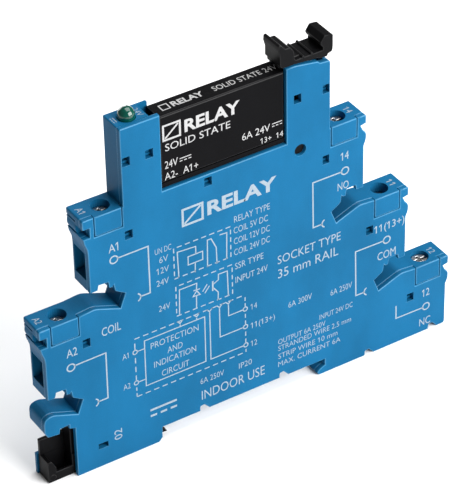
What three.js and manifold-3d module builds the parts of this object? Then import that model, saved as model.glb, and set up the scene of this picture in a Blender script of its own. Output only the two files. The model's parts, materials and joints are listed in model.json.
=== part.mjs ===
// A slim plug-in relay on its DIN-rail socket.
//
// Frame: origin on the rail seat, on the rail's centre line and halfway through the module's width.
// +X runs along the module from the coil terminals to the contact terminals, +Y through its width
// from the cover to the back plate, +Z away from the rail. Millimetres.

import * as THREE from 'three';
import { mergeVertices } from 'three/addons/utils/BufferGeometryUtils.js';
import Module from 'manifold-3d';

const wasm = await Module();
wasm.setup();

// ---- Driving dimensions -------------------------------------------------------------------------

const WIDTH = 6.2;                        // module pitch along the rail
const FRONT = -WIDTH / 2;                 // outer face of the cover
const BACK = WIDTH / 2;                   // outer face of the back plate
const COVER = 1.2;                        // cover thickness
const BACK_PLATE = 0.9;                   // back plate thickness
const IN_FRONT = FRONT + COVER;           // inner face of the cover
const IN_BACK = BACK - BACK_PLATE;        // inner face of the back plate
const WALL = 1.0;                         // walls round the housing's edge
const GAP = 0.15;                         // moulded clearance between neighbouring pieces
const PAST = 5;                           // how far a cutting solid runs past what it cuts

const BASE_Z = -3.55;                     // underside of the housing, below the rail seat
const BASE_LEFT = -41.35;
const RAIL = { left: -21.5, hook: 18.0, lipTip: 16.1 };

const STEP_X = 10.7;                      // one terminal level to the next
const STEP_Z = 21.8;
const LEFT_EDGE = -36.3;                  // upper coil block's outer wall
const RIGHT_EDGE = 27.2;                  // upper contact block's outer wall
const BLOCK_TOP = 57.7;                   // top of both upper blocks
const BLOCK_UNDER = 40.35;                // underside of both upper blocks
const SCREW_IN = 4.75;                    // screw axis, measured in from the outer wall

const TOWER = { left: -28.25, right: 19.1, top: 75.3, lowRight: 73.6 };
const WINDOW = { left: -19.45, right: 8.9, sill: 57.8 };

const RELAY = { left: -19.3, right: 8.7, bottom: 58.1, top: 74.4, halfWidth: 2.5, wall: 0.6 };
const RELAY_BASE_TOP = RELAY.bottom + 1.1;
const PIN = { width: 1.0, thick: 0.45, bottom: 54.5, top: 60.6 };
const PIN_X = { A1: -17.9, A2: -14.1, 13: 2.3, 14: 7.3 };
const SPARE_CONTACT_X = -2.7;             // break contact, used by an electromechanical relay only

const LED = { x: -24.9, radius: 1.75, shoulder: 75.9, bottom: 70.6, flange: 1.85 };
const PIVOT = { x: 12.05, z: 55.25, pinRadius: 1.2, holeRadius: 1.35, hubRadius: 2.2 };

const SCREW = { headRadius: 1.8, shankRadius: 1.15, seat: 3.85, headHeight: 1.5 };
const BAR = { top: 9.0, thick: 0.8, halfWidth: 1.1 };          // depths are below the block's top
const CAGE = { top: 7.8, height: 6.1, plate: 0.8, halfLength: 1.8, halfWidth: 1.8 };
const BOARD = { left: -26.5, right: -5.2, bottom: 6.5, top: 54.0, front: 0.75, back: 1.75 };
const LEAD = { pitch: 1.27, half: 0.25, foot: 50.0 };          // the LED's leads, down to the board

const ROUND = 24;                         // sides of a full circle

// ---- Materials ----------------------------------------------------------------------------------

const finish = (color, roughness, metalness) => new THREE.MeshStandardMaterial({ color, roughness, metalness });
const housingBlue = () => finish(0x1f78b4, 0.45, 0);
const relayBlack = () => finish(0x17181a, 0.4, 0);
const leverBlack = () => finish(0x141618, 0.5, 0);
const zincSteel = () => finish(0xb9bcc0, 0.35, 1);
const springSteel = () => finish(0x9a9c9f, 0.3, 1);
const tinnedBrass = () => finish(0xc9b37a, 0.35, 1);
const tinnedCopper = () => finish(0xc4c2bd, 0.3, 1);
const boardGreen = () => finish(0x2d6b3c, 0.6, 0);
const ledGreen = () => finish(0x0d7a3a, 0.2, 0);
const epoxyBlack = () => finish(0x1c1c1e, 0.55, 0);
const resistorBody = () => finish(0xbfae8a, 0.6, 0);
const glassOrange = () => finish(0xb5542a, 0.2, 0);

// ---- Solid helpers ------------------------------------------------------------------------------

function toSolid(geometry) {
  const bare = geometry.clone();
  bare.deleteAttribute('normal');
  bare.deleteAttribute('uv');
  const merged = mergeVertices(bare, 1e-5);
  return new wasm.Manifold(new wasm.Mesh({
    numProp: 3,
    vertProperties: new Float32Array(merged.attributes.position.array),
    triVerts: new Uint32Array(merged.index.array),
  }));
}

function toGeometry(solid) {
  const mesh = solid.getMesh();
  const geometry = new THREE.BufferGeometry();
  geometry.setAttribute('position', new THREE.BufferAttribute(new Float32Array(mesh.vertProperties), 3));
  geometry.setIndex(new THREE.BufferAttribute(new Uint32Array(mesh.triVerts), 1));
  const faceted = geometry.toNonIndexed();
  faceted.computeVertexNormals();
  return faceted;
}

const join = (first, ...rest) => rest.reduce((sum, solid) => sum.add(solid), first);
const cut = (body, ...tools) => tools.reduce((left, tool) => left.subtract(tool), body);

// A block between two corners.
function block(x0, x1, y0, y1, z0, z1) {
  const box = new THREE.BoxGeometry(x1 - x0, y1 - y0, z1 - z0);
  box.translate((x0 + x1) / 2, (y0 + y1) / 2, (z0 + z1) / 2);
  return toSolid(box);
}

// A closed outline in X and Z. A point is [x, z] or [x, z, radius] for a rounded corner.
function outline(points) {
  const shape = new THREE.Shape();
  points.forEach(([x, z, radius], i) => {
    const here = new THREE.Vector2(x, z);
    const towards = (other, reach) => {
      const way = new THREE.Vector2(other[0], other[1]).sub(here);
      return here.clone().addScaledVector(way.normalize(), reach);
    };
    const place = i === 0 ? 'moveTo' : 'lineTo';
    if (!radius) {
      shape[place](x, z);
      return;
    }
    const start = towards(points[(i + points.length - 1) % points.length], radius);
    const end = towards(points[(i + 1) % points.length], radius);
    shape[place](start.x, start.y);
    shape.quadraticCurveTo(x, z, end.x, end.y);
  });
  return shape;
}

// An outline in X and Z made into a plate between two depths.
function plate(points, y0, y1) {
  const geometry = new THREE.ExtrudeGeometry(outline(points), {
    depth: y1 - y0, bevelEnabled: false, curveSegments: 3,
  });
  geometry.rotateX(Math.PI / 2);
  geometry.translate(0, y1, 0);
  return toSolid(geometry);
}

// A round bar along Y or Z, from one height to another, about the line through [a, b].
function roundBar(axis, radius, [a, b], from, to, sides = ROUND) {
  const geometry = new THREE.CylinderGeometry(radius, radius, to - from, sides);
  if (axis === 'z') {
    geometry.rotateX(Math.PI / 2);
    geometry.translate(a, b, (from + to) / 2);
  } else {
    geometry.translate(a, (from + to) / 2, b);
  }
  return toSolid(geometry);
}

const object = new THREE.Group();
object.name = 'plug_in_relay';

function addPiece(name, solid, material) {
  const mesh = new THREE.Mesh(toGeometry(solid), material);
  mesh.name = name;
  object.add(mesh);
}

// ---- Terminals ----------------------------------------------------------------------------------

// side is -1 on the coil side and +1 on the contact side; level 0 is the upper one.
// headDepth is how far the screw's head stands below the block's top.
function terminal(mark, side, level, headDepth) {
  const edge = (side < 0 ? LEFT_EDGE : RIGHT_EDGE) + side * level * STEP_X;
  const top = BLOCK_TOP - level * STEP_Z;
  return {
    mark,
    side,
    edge,
    top,
    headDepth,
    under: BLOCK_UNDER - level * STEP_Z,
    screwX: edge - side * SCREW_IN,
    at: (inward) => edge - side * inward,
  };
}

const TERMINALS = [
  terminal('A1', -1, 0, 1.6),
  terminal('A2', -1, 1, 1.8),
  terminal('14', 1, 0, 1.3),
  terminal('11', 1, 1, 2.3),
  terminal('12', 1, 2, 0.8),
];
const [T_A1, T_A2, T_14, T_11, T_12] = TERMINALS;

const TONGUE = { halfWidth: 3.0, drop: 4.45, root: 3.2 };   // the flap of each terminal top
const SHELF = 5.0;                                          // thickness of each terminal top

// Outer profile of a coil block, from its bottom corner up to its top corner.
const leftProfile = (t) => [
  [t.at(0), t.under],
  [t.at(0), t.top - 8.2],
  [t.at(-0.1), t.top - 7.0],
  [t.at(-0.65), t.top - 5.4],
  [t.at(-0.85), t.top - 4.3],
  [t.at(0.65), t.top - 4.3],
  [t.at(0.65), t.top - 2.1],
  [t.at(-0.9), t.top - 2.1],
  [t.at(-0.95), t.top, 0.4],
];

// Outer profile of a contact block, from its top corner down to its bottom corner.
const rightProfile = (t) => [
  [t.at(-0.5), t.top, 0.4],
  [t.at(-0.5), t.top - 2.0],
  [t.at(0.75), t.top - 2.25],
  [t.at(0.3), t.top - 3.3],
  [t.at(-0.6), t.top - 4.4, 0.5],
  [t.at(-0.55), t.top - 5.9, 0.5],
  [t.at(0), t.top - 7.2],
];

// Underside of a block and the link slot beneath it, from the outer wall to the slot's lower lip.
const underside = (t) => [
  [t.at(0), t.under],
  [t.at(1.7), t.under],
  [t.at(1.95), t.under + 1.15],
  [t.at(4.05), t.under + 1.05],
  [t.at(4.25), t.under - 0.45],
  [t.at(4.9), t.under - 0.5],
  [t.at(5.25), t.under - 0.1],
  [t.at(5.5), t.under - 1.7, 0.3],
  [t.at(7.7), t.under - 3.1],
  [t.at(6.5), t.under - 6.3],
  [t.at(0.9), t.under - 4.1, 0.8],
  [t.at(-2.8), t.under - 4.45],
];

// ---- Housing outline ----------------------------------------------------------------------------

// Small pry notch in an underside at height z, from x0 to x1.
const pryNotch = (x0, x1, z) => [
  [x0, z],
  [x0 + 0.05, z + 1.2, 0.2],
  [x0 + 0.95, z + 1.35, 0.2],
  [x1, z],
];

const bottomEdge = [
  [BASE_LEFT, BASE_Z],
  [-22.4, BASE_Z],
  [RAIL.left, -2.6],
  [RAIL.left, 0],
  ...pryNotch(-12.45, -10.3, 0),
  ...pryNotch(6.8, 8.9, 0),
  [RAIL.hook, 0],
  [RAIL.hook, -1.55],
  [16.9, -2.05],
  [16.3, -2.5],
  [RAIL.lipTip, -2.95],
  [16.6, BASE_Z],
  ...pryNotch(28.1, 30.3, BASE_Z),
  ...pryNotch(44.4, 46.5, BASE_Z),
];

const contactSide = [
  [T_12.at(0), BASE_Z, 0.6],
  ...rightProfile(T_12).reverse(),
  ...underside(T_11).reverse(),
  ...rightProfile(T_11).reverse(),
  ...underside(T_14).reverse(),
  ...rightProfile(T_14).reverse(),
];

const rightTower = [
  [TOWER.right, BLOCK_TOP],
  [TOWER.right, TOWER.lowRight, 0.5],
  [16.7, TOWER.lowRight + 0.25],
  [16.2, 74.35],
  [11.0, 75.2],
];

const leftTower = [
  [TOWER.left, TOWER.top, 0.3],
  [TOWER.left, BLOCK_TOP],
];

const coilSide = [
  ...leftProfile(T_A1).reverse(),
  ...underside(T_A1).slice(1),
  ...leftProfile(T_A2).reverse(),
  ...underside(T_A2).slice(1, -1),
];

// The stop finger under the lower coil block, over the rail latch.
const finger = [
  [-48.2, 14.1, 1.3],
  [-48.2, 10.6, 0.6],
  [-47.5, 9.4],
  [-44.9, 9.1],
  [-44.7, 10.3],
  [-42.65, 10.45],
  [-42.6, 9.4],
  [BASE_LEFT, 9.0],
];

const housingOutline = (overRelay) => [
  ...bottomEdge,
  ...contactSide,
  ...rightTower,
  ...overRelay,
  ...leftTower,
  ...coilSide,
  ...finger,
];

// ---- Rear shell ---------------------------------------------------------------------------------

const SEAT_WALL = 2.0;                     // floor of the housing over the rail
const BACK_PANEL_TOP = 73.0;               // back plate behind the relay stays under its top edge
const CELL = { reach: 10.5, floor: 15.0 };
const THIN_BACK = RELAY.halfWidth + 0.1;   // inner face of the back plate behind the relay
const ROOF_END = -21.2;                    // the LED tower's roof ends short of the relay

// The room inside each terminal block, open to the middle of the housing.
function terminalCell(t) {
  const outer = t.at(WALL);
  const inner = t.at(CELL.reach);
  return block(Math.min(outer, inner), Math.max(outer, inner), FRONT - PAST, IN_BACK,
    t.top - CELL.floor, t.top - SHELF);
}

// The rooms of the housing, from the rail up, each over the whole width inside the back plate.
function housingRooms() {
  const room = (x0, x1, z0, z1) => block(x0, x1, FRONT - PAST, IN_BACK, z0, z1);
  return [
    room(-38.0, 29.0, 2.75, 20.0),
    room(RAIL.left - 2, 29.0, SEAT_WALL, 3.0),
    room(28.0, T_12.at(WALL), T_12.top - CELL.floor, 11.3),
    room(T_A2.at(WALL), T_11.at(WALL), 20.9, 32.6),
    room(-27.4, 18.5, 19, 42),
    room(-27.4, 18.2, 41, 56.3),
  ];
}

// The channel that the rail latch slides in, open below at its outer end and above the rail flange.
function latchChannel() {
  return [
    block(-60, -23.9, FRONT - PAST, IN_BACK, -2.75, 1.75),
    block(-25, RAIL.left + PAST, FRONT - PAST, IN_BACK, -2.75, -1.0),
    block(-60, -36.9, FRONT - PAST, IN_BACK, BASE_Z - 1, 1.75),
    block(-60, -39.9, FRONT - PAST, IN_BACK, 1.7, 8.7),
    block(-41, -30.4, FRONT - PAST, IN_BACK, 1.7, 8.7),
  ];
}

// Fold-over tongue of a terminal top, flush with the cover.
function tongue(t) {
  const { halfWidth, drop } = TONGUE;
  const flap = plate([
    [t.screwX - halfWidth, t.top],
    [t.screwX - halfWidth, t.top - drop, 0.4],
    [t.screwX + halfWidth, t.top - drop, 0.4],
    [t.screwX + halfWidth, t.top],
  ], FRONT, IN_FRONT);
  const bridge = block(t.screwX - halfWidth, t.screwX + halfWidth, FRONT, IN_FRONT + 0.5,
    t.top - TONGUE.root, t.top);
  return join(flap, bridge);
}

// Stepped screw hole: the head's pocket, then the smaller hole of the shank.
function screwHole(t) {
  const seat = t.top - SCREW.seat;
  return join(
    roundBar('z', SCREW.headRadius + 0.15, [t.screwX, 0], seat, t.top + 1),
    roundBar('z', SCREW.shankRadius + 0.2, [t.screwX, 0], t.top - SHELF - 1, seat + 0.5),
  );
}

// Behind the cover, the side of a coil block bulges out below its thin lip instead of being notched.
const BULGE = { front: -0.3, top: 2.0, bottom: 4.35, lip: 1.25, groove: 0.35 };
const sideBulge = (t) => plate([
  [t.at(0.8), t.top - BULGE.bottom],
  [t.at(0.8), t.top - BULGE.top],
  [t.at(-0.75), t.top - BULGE.top],
  [t.at(-1.0), t.top - 3.2, 0.6],
  [t.at(-0.6), t.top - BULGE.bottom, 0.3],
], BULGE.front, BACK);
const lipGroove = (t) => block(t.at(-5), t.at(-0.35), BULGE.front, BACK + 1,
  t.top - BULGE.lip - BULGE.groove, t.top - BULGE.lip);

// The wire opening in the outer wall of a terminal.
function wireEntry(t) {
  const outer = t.at(-3);
  const inner = t.at(WALL + 1);
  return block(Math.min(outer, inner), Math.max(outer, inner), -1.75, 2.45, t.top - CELL.floor, t.top - 8.6);
}

// Snap windows of the cover, by left and bottom edge. The shell's tooth stands behind the lower part of
// a window. The windows in front of the ejector's arm and of the rail latch are plain holes.
const SNAP = { width: 1.7, height: 2.0, toothTall: 0.5, toothDepth: 1.0 };
const SNAPS = [
  { x: TOWER.left + 0.25, z: 66.7 },
  { x: -22.9, z: 66.6 },
  { x: 10.6, z: 66.5, plain: true },
  { x: 17.3, z: 66.4, width: 1.55 },
  { x: -28.1, z: 49.8 },
  { x: 17.3, z: 49.6, width: 1.55 },
  { x: -38.6, z: 27.9 },
  { x: 28.0, z: 27.8 },
  { x: -36.4, z: 1.05, width: 2.25, height: 1.35, plain: true },
  { x: 38.6, z: 6.1 },
  { x: -10.1, z: 55.1 },
];

// A tooth on the post that carries it from the back plate.
const snapTooth = ({ x, z, width = SNAP.width }) => block(x + GAP, x + width - GAP,
  FRONT + SNAP.toothDepth, BACK - 0.3, z + GAP, z + GAP + SNAP.toothTall);

// The hole in the cover that a tooth snaps into.
const snapWindow = ({ x, z, width = SNAP.width, height = SNAP.height }) => block(x, x + width,
  FRONT - 1, IN_FRONT + 1, z, z + height);

// Ribs on the back plate that the control board rests against.
const boardRests = () => [BOARD.left + 0.6, BOARD.right - 1.6].map((x) => (
  block(x, x + 1, BOARD.back + 0.02, BACK - 0.3, BOARD.bottom + 2, BOARD.top - 6)));

function rearShell() {
  const backOverRelay = [
    [WINDOW.right, 75.2],
    [WINDOW.right, BACK_PANEL_TOP],
    [WINDOW.left + 0.6, BACK_PANEL_TOP],
    [WINDOW.left + 0.6, TOWER.top, 0.3],
  ];
  const full = plate(housingOutline(backOverRelay), IN_FRONT, BACK);
  const relayPocket = block(ROOF_END, 9.2, FRONT - PAST, THIN_BACK, WINDOW.sill, TOWER.top + PAST);
  const leverTower = block(9.0, TOWER.right - WALL, FRONT - PAST, IN_BACK, 50, TOWER.top + PAST);
  const ledTower = block(TOWER.left + WALL, ROOF_END - WALL, FRONT - PAST, IN_BACK, 55, TOWER.top - WALL);
  const ledHole = roundBar('z', LED.radius + 0.1, [LED.x, 0], TOWER.top - 2, TOWER.top + 1);
  const pinSlots = [PIN_X.A1, PIN_X.A2, SPARE_CONTACT_X].map((x) => (
    block(x - 0.95, x + 0.95, -1.1, 1.1, 50, WINDOW.sill + 1)));
  const toeBay = block(0.9, 9.3, FRONT - PAST, IN_BACK, 55, WINDOW.sill + 1);
  const hollow = cut(full, relayPocket, leverTower, ledTower, ledHole, toeBay, ...pinSlots,
    ...housingRooms(), ...latchChannel(), ...TERMINALS.map(terminalCell));
  const latchBack = block(-47.7, BASE_LEFT + 1, IN_BACK, BACK, BASE_Z, 1.5);
  const teeth = SNAPS.filter((snap) => !snap.plain).map(snapTooth);
  const pivotHole = roundBar('y', PIVOT.holeRadius, [PIVOT.x, PIVOT.z], 0, BACK + 1);
  const coilBlocks = [T_A1, T_A2];
  return cut(join(hollow, latchBack, ...boardRests(), ...TERMINALS.map(tongue),
    ...coilBlocks.map(sideBulge), ...teeth),
  pivotHole, ...coilBlocks.map(lipGroove), ...TERMINALS.map(screwHole), ...TERMINALS.map(wireEntry));
}

// ---- Front cover --------------------------------------------------------------------------------

function frontCover() {
  const openOverRelay = [
    [WINDOW.right, 75.2],
    [WINDOW.right, WINDOW.sill],
    [WINDOW.left, WINDOW.sill],
    [WINDOW.left, TOWER.top],
  ];
  const sheet = plate(housingOutline(openOverRelay), FRONT, IN_FRONT);
  const tongueNotch = (t) => block(t.screwX - TONGUE.halfWidth - GAP, t.screwX + TONGUE.halfWidth + GAP,
    FRONT - 1, IN_FRONT + 1, t.top - TONGUE.drop - GAP, t.top + 1);
  const pivotHole = roundBar('y', PIVOT.holeRadius, [PIVOT.x, PIVOT.z], FRONT - 1, IN_FRONT + 1);
  return cut(sheet, pivotHole, ...TERMINALS.map(tongueNotch), ...SNAPS.map(snapWindow));
}

// ---- LED ----------------------------------------------------------------------------------------

function ledLens() {
  const profile = [new THREE.Vector2(0, LED.bottom), new THREE.Vector2(LED.flange, LED.bottom)];
  profile.push(new THREE.Vector2(LED.flange, LED.bottom + 1.0));
  profile.push(new THREE.Vector2(LED.radius, LED.bottom + 1.0));
  const turns = 6;
  for (let i = 0; i < turns; i += 1) {
    const a = (i / turns) * Math.PI / 2;
    profile.push(new THREE.Vector2(LED.radius * Math.cos(a), LED.shoulder + LED.radius * Math.sin(a)));
  }
  profile.push(new THREE.Vector2(0, LED.shoulder + LED.radius));
  const lens = new THREE.LatheGeometry(profile, ROUND);
  lens.rotateX(Math.PI / 2);
  lens.translate(LED.x, 0, 0);
  return toSolid(lens);
}

// A lead from the LED straight down to its foot, which is bent back onto the board.
function ledLead(x) {
  const { half, foot } = LEAD;
  return join(
    block(x - half, x + half, -half, half, foot, LED.bottom - 0.02),
    block(x - half, x + half, -half, BOARD.front, foot, foot + 2 * half),
  );
}

// ---- Terminal parts -----------------------------------------------------------------------------

function terminalScrew(t) {
  const headTop = t.top - t.headDepth;
  const headBottom = headTop - SCREW.headHeight;
  const tip = t.top - BAR.top + 0.05;
  const screw = join(
    roundBar('z', SCREW.headRadius, [t.screwX, 0], headBottom, headTop),
    roundBar('z', SCREW.shankRadius, [t.screwX, 0], tip, headBottom + 0.2, 16),
  );
  const slot = (halfX, halfY) => block(t.screwX - halfX, t.screwX + halfX, -halfY, halfY,
    headTop - 0.7, headTop + 1);
  return cut(screw, slot(SCREW.headRadius + 1, 0.25), slot(0.25, SCREW.headRadius - 0.6));
}

// A clamp, drawn open. Its screw draws it up by 2.5 until its lower plate meets the current bar.
function clampCage(t) {
  const top = t.top - CAGE.top;
  const bottom = top - CAGE.height;
  const body = block(t.screwX - CAGE.halfLength, t.screwX + CAGE.halfLength,
    -CAGE.halfWidth, CAGE.halfWidth, bottom, top);
  const throat = block(t.screwX - PAST, t.screwX + PAST, -CAGE.halfWidth + 0.5, CAGE.halfWidth - 0.5,
    bottom + CAGE.plate, top - CAGE.plate);
  const screwThread = roundBar('z', SCREW.shankRadius + 0.1, [t.screwX, 0], top - 2, top + 1);
  const grip = [-1.2, 0, 1.2].map((dx) => block(t.screwX + dx - 0.15, t.screwX + dx + 0.15,
    -1.2, 1.2, bottom + CAGE.plate - 0.2, bottom + CAGE.plate + 0.5));
  return cut(body, throat, screwThread, ...grip);
}

// The flat strip that the clamp presses the wire against, with its web standing on edge behind it.
// The web's path is a list of [x, z] corners in order.
function currentBar(t, web) {
  const top = t.top - BAR.top;
  const outer = t.at(1.6);
  const inner = t.at(8.2);
  const strip = block(Math.min(outer, inner), Math.max(outer, inner), -BAR.halfWidth, BAR.halfWidth,
    top - BAR.thick, top);
  return join(strip, plate(web, -0.3, 0.3));
}

// A pair of spring blades that grip one relay pin.
const BLADE = { foot: 49.6, top: 57.3, near: 0.3, far: 0.65, halfWidth: 0.85 };
function forkBlades(x) {
  const blade = (y0, y1) => block(x - BLADE.halfWidth, x + BLADE.halfWidth, y0, y1, BLADE.foot, BLADE.top);
  const foot = block(x - BLADE.halfWidth, x + BLADE.halfWidth, -BLADE.far, BLADE.far,
    BLADE.foot - 1.2, BLADE.foot + 0.4);
  return join(foot, blade(-BLADE.far, -BLADE.near), blade(BLADE.near, BLADE.far));
}

// One-piece load bar: a strip in the terminal, a web through the housing and a fork at the relay.
function loadBar(t, forkX) {
  const z = t.top - BAR.top;
  const half = 1.1;
  const foot = BLADE.foot;
  const web = [
    [t.at(6.6), z],
    [forkX + half, z],
    [forkX + half, foot],
    [forkX - half, foot],
    [forkX - half, z - 2 * half],
    [t.at(6.6), z - 2 * half],
  ];
  return join(currentBar(t, web), forkBlades(forkX));
}

// ---- Control board ------------------------------------------------------------------------------


// Coil bar: the strip in the terminal and a leg that stands against the board.
function coilBar(t) {
  const z = t.top - BAR.top;
  const web = [
    [t.at(6.6), z],
    [BOARD.left + 3.0, z],
    [BOARD.left + 3.0, z - 2.2],
    [t.at(6.6), z - 2.2],
  ];
  const leg = block(BOARD.left + 1.4, BOARD.left + 3.0, -0.3, BOARD.front, z - 2.2, z);
  return join(currentBar(t, web), leg);
}

function coilContact(x) {
  const leg = block(x - 0.6, x + 0.6, 0.1, BOARD.front, 45.2, BLADE.foot);
  return join(forkBlades(x), leg);
}

function controlBoard() {
  return block(BOARD.left, BOARD.right, BOARD.front, BOARD.back, BOARD.bottom, BOARD.top);
}

// Parts soldered to the board's front face: [x, z, size along x, along z, height off the board].
const onBoard = ([x, z, w, h, tall]) => (
  block(x - w / 2, x + w / 2, BOARD.front - tall, BOARD.front, z - h / 2, z + h / 2));

// A part with a sloped package, as a moulded component has.
function moulded(x0, x1, y0, y1, z0, z1, draft) {
  const shape = new THREE.Shape([
    new THREE.Vector2(x0, z0), new THREE.Vector2(x1, z0),
    new THREE.Vector2(x1, z1), new THREE.Vector2(x0, z1),
  ]);
  const geometry = new THREE.ExtrudeGeometry(shape, {
    depth: y1 - y0 - 2 * draft, bevelEnabled: true, bevelThickness: draft,
    bevelSize: draft, bevelOffset: -draft, bevelSegments: 1,
  });
  geometry.rotateX(Math.PI / 2);
  geometry.translate(0, y1 - draft, 0);
  return toSolid(geometry);
}

// ---- Relay --------------------------------------------------------------------------------------

function relayCase() {
  const { left, right, top, halfWidth, wall } = RELAY;
  const shell = moulded(left, right, -halfWidth, halfWidth, RELAY_BASE_TOP, top, 0.25);
  const base = block(left + wall, right - wall, -halfWidth + wall, halfWidth - wall,
    RELAY_BASE_TOP - PAST, top - wall);
  return cut(shell, base);
}

function relayBase() {
  const { left, right, bottom, halfWidth } = RELAY;
  const slab = block(left, right, -halfWidth, halfWidth, bottom, RELAY_BASE_TOP - 0.02);
  const slots = Object.values(PIN_X).map((x) => block(x - PIN.width / 2 - 0.05, x + PIN.width / 2 + 0.05,
    -PIN.thick / 2 - 0.05, PIN.thick / 2 + 0.05, bottom - 1, RELAY_BASE_TOP + 1));
  return cut(slab, ...slots);
}

function relayPin(x) {
  const half = PIN.width / 2;
  return plate([
    [x - half, PIN.top],
    [x - half, PIN.bottom + 0.7],
    [x - half * 0.4, PIN.bottom],
    [x + half * 0.4, PIN.bottom],
    [x + half, PIN.bottom + 0.7],
    [x + half, PIN.top],
  ], -PIN.thick / 2, PIN.thick / 2);
}

// ---- Ejector lever ------------------------------------------------------------------------------

// Seen from the cover: hub at the pivot, forked toe under the relay, arm up the right tower.
function ejectorLever() {
  const front = IN_FRONT + 0.1;
  const back = IN_BACK - 0.1;
  const hub = roundBar('y', PIVOT.hubRadius, [PIVOT.x, PIVOT.z], front, back);
  const pins = roundBar('y', PIVOT.pinRadius, [PIVOT.x, PIVOT.z], FRONT + 0.6, BACK - 0.25);
  const arm = plate([
    [9.7, 54.6],
    [13.9, 55.6],
    [13.5, 60.0],
    [13.2, 74.6],
    [13.2, 76.5],
    [9.5, 76.5],
    [9.5, 59.0],
    [9.3, 58.0],
  ], front, back);
  const toe = plate([
    [11.0, 53.4],
    [12.0, 56.5],
    [10.0, 58.0, 0.3],
    [1.5, 58.0],
    [1.5, 57.1],
    [7.6, 56.3],
  ], front, back);
  const toeSlot = block(0, 8.5, -1.2, 1.2, 52, 60);
  const ribs = [61.5, 65.0, 68.5].map((z) => block(10.4, 12.3, front - 1, front + 1.1, z, z + 2.6));
  return join(cut(join(hub, arm), ...ribs), cut(toe, toeSlot), pins, leverHead());
}

// Label holder and thumb piece on top of the arm, and the hook that holds the relay down. Only the
// hook, which fits between the housing's plates, reaches below the tower's top.
const HEAD = { front: -2.8, back: 2.7, tread: 76.3 };
function leverHead() {
  const ridge = (x) => [[x + 0.3, HEAD.tread], [x + 0.2, HEAD.tread + 0.4], [x - 0.2, HEAD.tread + 0.4],
    [x - 0.3, HEAD.tread]];
  const holder = plate([
    [7.7, 76.0, 0.2],
    [8.3, 75.45],
    [11.0, 75.45],
    [16.2, 75.0],
    [16.8, 74.65],
    [18.55, 74.6],
    [18.75, 75.1],
    [19.8, 75.4, 0.4],
    [19.8, 79.2, 0.2],
    [17.9, 79.5, 0.2],
    [17.0, 78.2],
    [17.0, 77.7],
    [17.6, 76.9],
    [17.5, HEAD.tread],
    ...ridge(15.0),
    ...ridge(13.0),
    [11.3, HEAD.tread],
    [10.6, 77.3],
    [10.9, 78.0],
    [10.7, 78.8],
    [9.9, 79.6],
    [8.9, 79.65],
    [7.9, 80.8, 0.2],
    [7.4, 80.7, 0.2],
    [7.3, 79.6],
    [7.7, 78.1],
  ], HEAD.front, HEAD.back);
  const cheek = plate([
    [7.7, 76.0],
    [11.0, 76.0],
    [10.95, 77.9],
    [10.25, 79.4],
    [7.7, 80.0, 0.2],
  ], HEAD.front, HEAD.front + 1.0);
  const hook = plate([
    [9.7, 76.0],
    [9.7, 74.6],
    [8.8, 74.7],
    [7.8, 75.3],
    [7.8, 76.3],
  ], IN_FRONT + 0.1, IN_BACK - 0.1);
  return join(holder, cheek, hook);
}

// ---- Rail latch ---------------------------------------------------------------------------------

const LATCH = { left: -47.4, front: IN_FRONT + 0.05, back: IN_BACK - 0.15, bottom: -3.5, nose: -20.2 };
const SPRING = { x0: -38.5, x1: -30.6, z: 5.2, radius: 1.2, wire: 0.5 };

function railLatch() {
  const { left, front, back, bottom, nose } = LATCH;
  const grip = block(left, -41.2, front, back, bottom, 1.75);
  const pocket = block(left + 0.8, -41.9, front + 0.7, back - 0.9, -2.6, 5);
  const lowFront = block(left + 0.8, -41.2, front - 1, back - 0.9, -1.3, 5);
  const corner = plate([
    [left, bottom],
    [left + 1.9, bottom],
    [left + 1.9, -0.2],
    [left + 0.9, 1.75],
    [left, 1.75],
  ], front, front + 0.7);
  const backWall = join(
    block(left, -41.2, back - 0.85, back, bottom, 5.6),
    block(left, -39.0, back - 0.85, back, -2.6, 5.6),
  );
  const bar = block(-41.9, -28.6, front, back, -2.6, 1.6);
  const tooth = plate([
    [-28.8, -2.6],
    [nose + 0.5, -2.6],
    [nose, -2.1],
    [nose, -1.7],
    [-24.3, -1.15],
    [-28.8, -1.15],
  ], front, back);
  const heel = block(-41.9, SPRING.x0 - 0.1, front + 0.3, back, 1.4, 8.3);
  const pinMark = roundBar('y', 0.8, [left + 0.95, -2.4], front - 0.06, front + 0.3, 20);
  return join(cut(grip, pocket, lowFront), corner, backWall, bar, tooth, heel, pinMark);
}

// Tension spring from the latch's heel to the housing, wound along X. It draws the latch to the rail.
function latchSpring() {
  const turns = 8;
  class Helix extends THREE.Curve {
    getPoint(u, target = new THREE.Vector3()) {
      const a = u * turns * 2 * Math.PI;
      const x = SPRING.x0 + SPRING.wire / 2 + u * (SPRING.x1 - SPRING.x0 - SPRING.wire);
      return target.set(x, 0.1 + SPRING.radius * Math.cos(a), SPRING.z + SPRING.radius * Math.sin(a));
    }
  }
  const section = new THREE.Shape();
  const sides = 6;
  for (let i = 0; i < sides; i += 1) {
    const a = (i / sides) * 2 * Math.PI;
    const place = i === 0 ? 'moveTo' : 'lineTo';
    section[place](SPRING.wire / 2 * Math.cos(a), SPRING.wire / 2 * Math.sin(a));
  }
  const coil = new THREE.ExtrudeGeometry(section, {
    steps: turns * 10, bevelEnabled: false, extrudePath: new Helix(),
  });
  return toSolid(coil);
}

// ---- Assembly -----------------------------------------------------------------------------------

addPiece('housing_rear_shell', rearShell(), housingBlue());
addPiece('housing_front_cover', frontCover(), housingBlue());

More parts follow.
